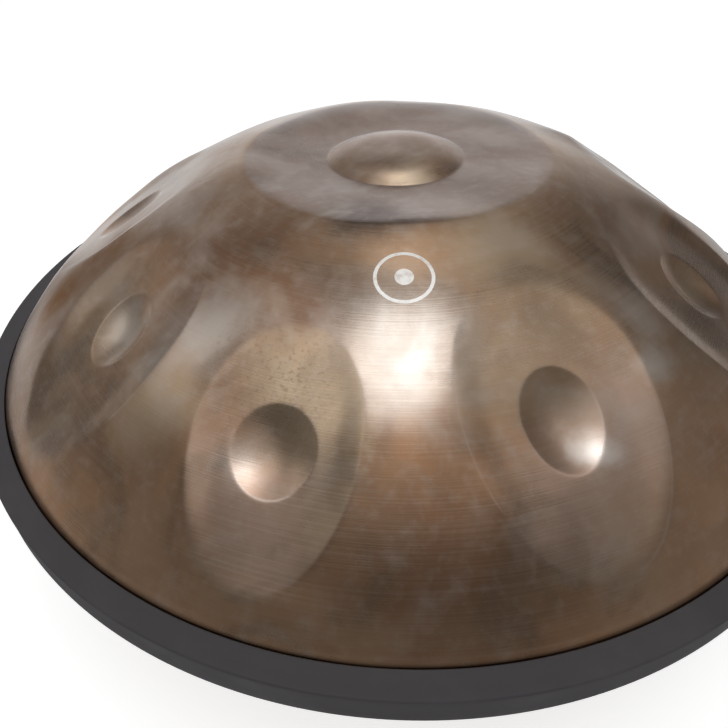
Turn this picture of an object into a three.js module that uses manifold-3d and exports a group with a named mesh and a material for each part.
// Handpan: two domed steel shells glued flange to flange, with a rubber trim over the joint.
//
// Millimetres, +Z up, origin on the axis of the instrument at the plane it rests on.
// Azimuth 0 is the player's side (-Y) and azimuths grow towards +X.

import * as THREE from "three";
import Module from "manifold-3d";

const DEGREE = Math.PI / 180;

// Sheet steel and the joint between the shells
const STEEL = 1; // thickness of both shells
const FLANGE_RADIUS = 267; // outer edge of both flanges
const ADHESIVE_THICKNESS = 0.6;
const ADHESIVE_INSET = 0.5; // from the flanges' outer edge
const REST_GAP = 0.3; // between faces that rest on each other
const FLANGE_LIFT = ADHESIVE_THICKNESS / 2 + REST_GAP; // flange to the middle of the joint

// Dome shared by both shells: a spherical crown, a tighter shoulder, a fillet, a flat flange
const CROWN_RADIUS = 330;
const CROWN_SLOPE = 50 * DEGREE; // where the crown hands over to the shoulder
const SHOULDER_RADIUS = 40;
const SHOULDER_SLOPE = 68 * DEGREE; // the steepest part of the wall
const FILLET_RADIUS = 2.5;

// Central note: a dished round field with a raised dome in the middle
const CENTRE_FIELD_RADIUS = 92;
const CENTRE_FIELD_DROP = 18; // below the crown at the axis
const DING_RADIUS = 43;
const DING_HEIGHT = 8.5;
const DING_FULLNESS = 3; // of the ding's shoulders; 2 would be a plain bowl turned over

// Nine tone fields, each an oval with a dimple in it. "arc" is the distance of a field's middle
// from the axis, along the dome; widths are halves across, lengths are halves along the dome,
// and "shift" moves the dimple outwards from the field's middle.
const FIELDS = [
  { azimuth: -14.5, arc: 216, width: 39.5, length: 61, dimple: { width: 20, length: 21.5, shift: -1.5 } },
  { azimuth: 24.3, arc: 205, width: 47.5, length: 69, dimple: { width: 19.5, length: 25, shift: -2 } },
  { azimuth: 66.5, arc: 196, width: 52, length: 69, dimple: { width: 17, length: 23.5, shift: -5 } },
  { azimuth: 106, arc: 195, width: 54, length: 71, dimple: { width: 20, length: 26, shift: -1 } },
  { azimuth: 147, arc: 193, width: 56, length: 73, dimple: { width: 21, length: 27, shift: 0 } },
  { azimuth: 188, arc: 191, width: 58, length: 74, dimple: { width: 22, length: 28, shift: 1 } },
  { azimuth: 228, arc: 190, width: 57, length: 73, dimple: { width: 21.5, length: 28, shift: 2 } },
  { azimuth: 268, arc: 188, width: 55, length: 70, dimple: { width: 20.5, length: 29, shift: 4 } },
  { azimuth: 309.5, arc: 206, width: 47, length: 72, dimple: { width: 18, length: 23, shift: -7 } },
];
const FIELD_FLATTENING = 0.85; // 1 makes a field's floor flat, 0 leaves it as round as the dome
const FIELD_BORDER_SLOPE = 19 * DEGREE; // of the border between a field's crease and its floor
const DIMPLE_DEPTH_RATIO = 0.22; // depth to half width

// Port in the bottom shell, from the inner end of its neck out to the land it rests on
const NECK_RADIUS = 50;
const NECK_LENGTH = 16; // the straight part
const LIP_RADIUS = 12;
const LAND_WIDTH = 6;
const LAND_BLEND_RADIUS = 60; // from the land into the crown

// Rubber trim: a channel bent round over both flanges, its two ends butted together
const TRIM_RADIUS = 270;
const TRIM_HEIGHT = 18;
const TRIM_CORNER = 1.2;
const TRIM_GAP = 0.6; // to the steel, everywhere
const TRIM_BUTT_GAP = 0.5;

// Facets
const TURN_STEPS = 72; // round the axis
const FIELD_STEPS_ACROSS = 8; // round one field's patch: across at each end
const FIELD_STEPS_ALONG = 6; // and along each side
const FIELD_FLOOR_SHARE = 0.74; // how far out a field's flattened floor reaches

// ---------------------------------------------------------------- meridian curves

// Walks outwards along a chain of arcs and straight runs, starting level or at a given slope.
// A slope is positive where the curve falls outwards. An arc with a negative radius is hollow.
function walk(start, slope, runs) {
  const pieces = [];
  let r = start.r;
  let z = start.z;
  let arc = 0;
  for (const run of runs) {
    const piece = { ...run, r, z, arc, from: slope };
    pieces.push(piece);
    if (run.radius === undefined) {
      r += run.length * Math.cos(slope);
      z -= run.length * Math.sin(slope);
      piece.span = run.length;
    } else {
      r += run.radius * (Math.sin(run.to) - Math.sin(slope));
      z -= run.radius * (Math.cos(slope) - Math.cos(run.to));
      piece.span = run.radius * (run.to - slope);
      slope = run.to;
    }
    arc += piece.span;
  }
  return pieces;
}

// The place at a distance along a walked curve, moved off it by "lift" along its normal.
function along(pieces, arc, lift = 0) {
  const piece = pieces.findLast((each) => each.arc <= arc) ?? pieces[0];
  const into = arc - piece.arc;
  let slope = piece.from;
  let r = piece.r;
  let z = piece.z;
  if (piece.radius === undefined) {
    r += into * Math.cos(slope);
    z -= into * Math.sin(slope);
  } else {
    slope += into / piece.radius;
    r += piece.radius * (Math.sin(slope) - Math.sin(piece.from));
    z -= piece.radius * (Math.cos(piece.from) - Math.cos(slope));
  }
  return { r: r + lift * Math.sin(slope), z: z + lift * Math.cos(slope), slope };
}

// Distances along a walked curve at which to place facets, "steps" of them per piece.
function stations(pieces, steps) {
  const arcs = [0];
  pieces.forEach((piece, index) => {
    for (let step = 1; step <= steps[index]; step += 1) {
      arcs.push(piece.arc + (piece.span * step) / steps[index]);
    }
  });
  return arcs;
}

// The last stretch of both shells, from the end of the crown to the edge of the flange.
const WALL_RUNS = [
  { radius: SHOULDER_RADIUS, to: SHOULDER_SLOPE },
  { radius: -FILLET_RADIUS, to: 0 },
];
const FLANGE_START =
  CROWN_RADIUS * Math.sin(CROWN_SLOPE) +
  SHOULDER_RADIUS * (Math.sin(SHOULDER_SLOPE) - Math.sin(CROWN_SLOPE)) +
  FILLET_RADIUS * Math.sin(SHOULDER_SLOPE);
const FLANGE_RUN = { length: FLANGE_RADIUS - FLANGE_START };

// Height of the crown's top above the flange's outer face.
const CROWN_HEIGHT =
  CROWN_RADIUS * (1 - Math.cos(CROWN_SLOPE)) +
  SHOULDER_RADIUS * (Math.cos(CROWN_SLOPE) - Math.cos(SHOULDER_SLOPE)) +
  FILLET_RADIUS * (1 - Math.cos(SHOULDER_SLOPE));

// Bottom shell, drawn upside down: neck, lip, land, blend, crown, wall and flange.
const LAND_OUTER_RADIUS = NECK_RADIUS + LIP_RADIUS + LAND_WIDTH;
const BLEND_SLOPE = Math.asin(LAND_OUTER_RADIUS / (CROWN_RADIUS - LAND_BLEND_RADIUS));
const LAND_HEIGHT =
  CROWN_HEIGHT - (CROWN_RADIUS - LAND_BLEND_RADIUS) * (1 - Math.cos(BLEND_SLOPE));
const JOINT_HEIGHT = LAND_HEIGHT + STEEL + FLANGE_LIFT; // middle of the joint above the rest plane

const topCurve = walk({ r: 0, z: JOINT_HEIGHT + FLANGE_LIFT + STEEL + CROWN_HEIGHT }, 0, [
  { radius: CROWN_RADIUS, to: CROWN_SLOPE },
  ...WALL_RUNS,
  FLANGE_RUN,
]);

const bottomCurve = walk({ r: NECK_RADIUS, z: -NECK_LENGTH - LIP_RADIUS }, -90 * DEGREE, [
  { length: NECK_LENGTH },
  { radius: LIP_RADIUS, to: 0 },
  { length: LAND_WIDTH },
  { radius: LAND_BLEND_RADIUS, to: BLEND_SLOPE },
  { radius: CROWN_RADIUS, to: CROWN_SLOPE },
  ...WALL_RUNS,
  FLANGE_RUN,
]);

// ---------------------------------------------------------------- top shell surface

// Every field and dimple as an oval on the dome.
const fields = FIELDS.map(({ dimple, ...field }) => {
  const azimuth = field.azimuth * DEGREE;
  const depth = DIMPLE_DEPTH_RATIO * dimple.width;
  return { ...field, azimuth, dimple: { ...dimple, azimuth, arc: field.arc + dimple.shift, depth } };
});

// Where a place lies from an oval's middle: across the dome, along it, and as a share of the
// way out to the oval's edge.
function offsets(place, oval) {
  const turn = place.azimuth - oval.azimuth;
  const nearTurn = Math.atan2(Math.sin(turn), Math.cos(turn));
  const across = along(topCurve, place.arc).r * nearTurn;
  const lengthways = place.arc - oval.arc;
  return { across, lengthways, distance: Math.hypot(across / oval.width, lengthways / oval.length) };
}

// A bowl that is "depth" deep in the middle and meets its rim, at distance 1, with a crease.
function bowl(depth, distance, fullness = 2) {
  return depth * Math.max(0, 1 - distance ** fullness);
}

// Depth of a field: a border slopes down from the crease to a flattened floor.
function panel(place, field) {
  const { across, lengthways, distance } = offsets(place, field);
  const floor = (field.length ** 2 - across ** 2 - lengthways ** 2) / (2 * CROWN_RADIUS);
  const border = Math.tan(FIELD_BORDER_SLOPE) * field.width * (1 - distance);
  return Math.max(0, Math.min(FIELD_FLATTENING * floor, border));
}

// How far the hammer has driven the steel in at a place, along the crown's normal.
function sunk(place) {
  let depth = bowl(CENTRE_FIELD_DROP, place.arc / CENTRE_FIELD_RADIUS);
  depth -= bowl(DING_HEIGHT, place.arc / DING_RADIUS, DING_FULLNESS);
  for (const field of fields) {
    depth += panel(place, field);
    depth += bowl(field.dimple.depth, offsets(place, field.dimple).distance);
  }
  return depth;
}

// A place on the outer face of the top shell, or "below" it inside the steel.
function topPoint(place, below) {
  const { r, z } = along(topCurve, place.arc, -sunk(place) - below);
  return new THREE.Vector3(r * Math.sin(place.azimuth), -r * Math.cos(place.azimuth), z);
}

// ---------------------------------------------------------------- top shell facets

// Each field has its own patch, from the centre field's edge to the wall. Patches meet halfway
// between the edges of neighbouring fields.
function patchEdge(field, next) {
  const reach = (each) => each.width / along(topCurve, each.arc).r;
  const turn = (next.azimuth - field.azimuth + 2 * Math.PI) % (2 * Math.PI);
  const free = turn - reach(field) - reach(next);
  return field.azimuth + reach(field) + free / 2;
}

const patches = fields.map((field, index) => {
  const before = fields.at(index - 1);
  const after = fields[(index + 1) % fields.length];
  const wrap = index === 0 ? 2 * Math.PI : 0;
  return { field, from: patchEdge(before, field) - wrap, to: patchEdge(field, after) };
});

function blend(first, second, share) {
  return first + (second - first) * share;
}

// Azimuths of the facet edges that all patches place along their inner and outer ends.
const turnAzimuths = patches.flatMap((patch) =>
  Array.from({ length: FIELD_STEPS_ACROSS }, (_, step) =>
    blend(patch.from, patch.to, step / FIELD_STEPS_ACROSS),
  ),
);
const PATCH_INNER_ARC = CENTRE_FIELD_RADIUS;
const PATCH_OUTER_ARC = CROWN_RADIUS * CROWN_SLOPE;

function circle(arc) {
  return turnAzimuths.map((azimuth) => ({ arc, azimuth }));
}

// The outline of a patch, anticlockwise seen from above, beginning at its inner left corner.
function patchOutline({ from, to }) {
  const outline = [];
  for (let step = 0; step < FIELD_STEPS_ALONG; step += 1) {
    const arc = blend(PATCH_INNER_ARC, PATCH_OUTER_ARC, step / FIELD_STEPS_ALONG);
    outline.push({ arc, azimuth: from });
  }
  for (let step = 0; step < FIELD_STEPS_ACROSS; step += 1) {
    const azimuth = blend(from, to, step / FIELD_STEPS_ACROSS);
    outline.push({ arc: PATCH_OUTER_ARC, azimuth });
  }
  for (let step = 0; step < FIELD_STEPS_ALONG; step += 1) {
    const arc = blend(PATCH_OUTER_ARC, PATCH_INNER_ARC, step / FIELD_STEPS_ALONG);
    outline.push({ arc, azimuth: to });
  }
  for (let step = 0; step < FIELD_STEPS_ACROSS; step += 1) {
    const azimuth = blend(to, from, step / FIELD_STEPS_ACROSS);
    outline.push({ arc: PATCH_INNER_ARC, azimuth });
  }
  return outline;
}

// The places on an oval, scaled by "share", that face the places of a patch's outline.
function ovalRing(outline, field, oval, share = 1) {
  return outline.map((place) => {
    const across = (along(topCurve, place.arc).r * (place.azimuth - field.azimuth)) / field.width;
    const lengthways = (place.arc - field.arc) / field.length;
    const angle = Math.atan2(lengthways, across);
    const arc = oval.arc + share * oval.length * Math.sin(angle);
    const width = share * oval.width * Math.cos(angle);
    return { arc, azimuth: field.azimuth + width / along(topCurve, arc).r };
  });
}

// Two triangles for every pair of neighbours on two closed rings.
function bridge(triangles, outer, inner) {
  outer.forEach((place, index) => {
    const next = (index + 1) % outer.length;
    triangles.push([place, outer[next], inner[next]]);
    triangles.push([place, inner[next], inner[index]]);
  });
}

function fan(triangles, ring, middle) {
  ring.forEach((place, index) => {
    triangles.push([place, ring[(index + 1) % ring.length], middle]);
  });
}

function patchFacets(triangles, patch) {
  const { field } = patch;
  const outline = patchOutline(patch);
  const edge = ovalRing(outline, field, field);
  const floor = ovalRing(outline, field, field, FIELD_FLOOR_SHARE);
  const rim = ovalRing(outline, field, field.dimple);
  const bottom = ovalRing(outline, field, field.dimple, 0.5);
  const rings = [outline, edge, floor, rim, bottom];
  for (let index = 1; index < rings.length; index += 1) {
    bridge(triangles, rings[index - 1], rings[index]);
  }
  fan(triangles, bottom, { arc: field.dimple.arc, azimuth: field.azimuth });
}

function centreFacets(triangles) {
  const arcs = [
    CENTRE_FIELD_RADIUS,
    (CENTRE_FIELD_RADIUS + DING_RADIUS) / 2,
    DING_RADIUS,
    DING_RADIUS * 0.75,
    DING_RADIUS * 0.4,
  ];
  for (let index = 1; index < arcs.length; index += 1) {
    bridge(triangles, circle(arcs[index - 1]), circle(arcs[index]));
  }
  fan(triangles, circle(arcs.at(-1)), { arc: 0, azimuth: 0 });
}

function wallFacets(triangles) {
  const arcs = stations(topCurve, [1, 3, 2, 1]).slice(1);
  for (let index = 1; index < arcs.length; index += 1) {
    bridge(triangles, circle(arcs[index]), circle(arcs[index - 1]));
  }
}

function topShellGeometry() {
  const face = [];
  patches.forEach((patch) => patchFacets(face, patch));
  centreFacets(face);
  wallFacets(face);

  const corners = [];
  for (const [first, second, third] of face) {
    corners.push(topPoint(first, 0), topPoint(second, 0), topPoint(third, 0));
    corners.push(topPoint(first, STEEL), topPoint(third, STEEL), topPoint(second, STEEL));
  }
  const flangeArc = topCurve.at(-1).arc + FLANGE_RUN.length;
  const edge = circle(flangeArc);
  edge.forEach((place, index) => {
    const next = edge[(index + 1) % edge.length];
    corners.push(topPoint(place, 0), topPoint(place, STEEL), topPoint(next, STEEL));
    corners.push(topPoint(place, 0), topPoint(next, STEEL), topPoint(next, 0));
  });
  return new THREE.BufferGeometry().setFromPoints(corners);
}

// ---------------------------------------------------------------- turned parts

// Turns a closed outline of { r, z } places round the axis.
function turned(outline) {
  const points = [...outline, outline[0]].map(({ r, z }) => new THREE.Vector2(r, z));
  return new THREE.LatheGeometry(points, TURN_STEPS).rotateX(90 * DEGREE);
}

function bottomShellGeometry() {
  const arcs = stations(bottomCurve, [1, 4, 1, 2, 7, 2, 2, 1]);
  const flip = ({ r, z }) => ({ r, z: -z });
  const outer = arcs.map((arc) => flip(along(bottomCurve, arc)));
  const inner = arcs.map((arc) => flip(along(bottomCurve, arc, -STEEL)));
  return turned([...outer, ...inner.reverse()]);
}

function adhesiveGeometry() {
  const innerRadius = FLANGE_START;
  const outerRadius = FLANGE_RADIUS - ADHESIVE_INSET;
  const low = JOINT_HEIGHT - ADHESIVE_THICKNESS / 2;
  const high = JOINT_HEIGHT + ADHESIVE_THICKNESS / 2;
  return turned([
    { r: innerRadius, z: low },
    { r: outerRadius, z: low },
    { r: outerRadius, z: high },
    { r: innerRadius, z: high },
  ]);
}

// Upper half of the trim's section, heights from the middle of the joint: from the slot's
// bottom, in over the flange, up along the wall, out over the top and round the corner.
function trimHalfSection() {
  const [, shoulder, fillet, flange] = topCurve;
  const top = TRIM_HEIGHT / 2;
  const centreHeight = shoulder.z - SHOULDER_RADIUS * Math.cos(shoulder.from) - JOINT_HEIGHT;
  const topSlope = Math.acos((top - centreHeight) / (SHOULDER_RADIUS + TRIM_GAP));
  const topArc = shoulder.arc + SHOULDER_RADIUS * (topSlope - shoulder.from);

  const section = [{ r: FLANGE_RADIUS + TRIM_GAP, z: FLANGE_LIFT + STEEL + TRIM_GAP }];
  for (const arc of [flange.arc, (fillet.arc + flange.arc) / 2, fillet.arc, topArc]) {
    const { r, z } = along(topCurve, arc, TRIM_GAP);
    section.push({ r, z: z - JOINT_HEIGHT });
  }
  for (const angle of [90, 45, 0]) {
    section.push({
      r: TRIM_RADIUS - TRIM_CORNER * (1 - Math.cos(angle * DEGREE)),
      z: top - TRIM_CORNER * (1 - Math.sin(angle * DEGREE)),
    });
  }
  return section;
}

async function trimGeometry() {
  const half = trimHalfSection();
  const upper = half.map(({ r, z }) => ({ r, z: JOINT_HEIGHT + z }));
  const lower = half.map(({ r, z }) => ({ r, z: JOINT_HEIGHT - z }));
  const ring = turned([...lower, ...upper.reverse()]);
  const butt = new THREE.BoxGeometry(TRIM_BUTT_GAP, 2 * TRIM_HEIGHT, 2 * TRIM_HEIGHT);
  butt.translate(0, TRIM_RADIUS, JOINT_HEIGHT);
  return cut(ring, butt);
}

// ---------------------------------------------------------------- solid cutting

const MERGE_GRID = 1e4; // corners closer than 1 / MERGE_GRID mm are one corner

function solidMesh(geometry) {
  const position = geometry.getAttribute("position");
  const order = geometry.index?.array ?? Array.from({ length: position.count }, (_, i) => i);
  const seen = new Map();
  const vertices = [];
  const corners = Array.from(order, (from) => {
    const place = [position.getX(from), position.getY(from), position.getZ(from)];
    const key = place.map((value) => Math.round(value * MERGE_GRID)).join();
    if (!seen.has(key)) {
      seen.set(key, seen.size);
      vertices.push(...place);
    }
    return seen.get(key);
  });
  return { vertProperties: new Float32Array(vertices), triVerts: new Uint32Array(corners) };
}

async function cut(body, tool) {
  const wasm = await Module();
  wasm.setup();
  const solid = (geometry) =>
    new wasm.Manifold(new wasm.Mesh({ numProp: 3, ...solidMesh(geometry) }));
  const { vertProperties, triVerts } = solid(body).subtract(solid(tool)).getMesh();
  const result = new THREE.BufferGeometry();
  result.setAttribute("position", new THREE.BufferAttribute(vertProperties, 3));
  result.setIndex(new THREE.BufferAttribute(triVerts, 1));
  return result;
}

// ---------------------------------------------------------------- materials and nodes

function steel() {
  return new THREE.MeshStandardMaterial({ color: 0x6e5a4c, roughness: 0.35, metalness: 1 });
}

function rubber() {
  return new THREE.MeshStandardMaterial({ color: 0x2c2b2b, roughness: 0.85, metalness: 0 });
}

function adhesive() {
  return new THREE.MeshStandardMaterial({ color: 0x8c8778, roughness: 0.6, metalness: 0 });
}

function node(name, geometry, material) {
  const mesh = new THREE.Mesh(geometry, material);
  mesh.name = name;
  return mesh;
}

const handpan = new THREE.Group();
handpan.name = "handpan";
handpan.add(
  node("top_shell", topShellGeometry(), steel()),
  node("bottom_shell", bottomShellGeometry(), steel()),
  node("flange_adhesive", adhesiveGeometry(), adhesive()),
  node("rim_trim", await trimGeometry(), rubber()),
);

export default handpan;
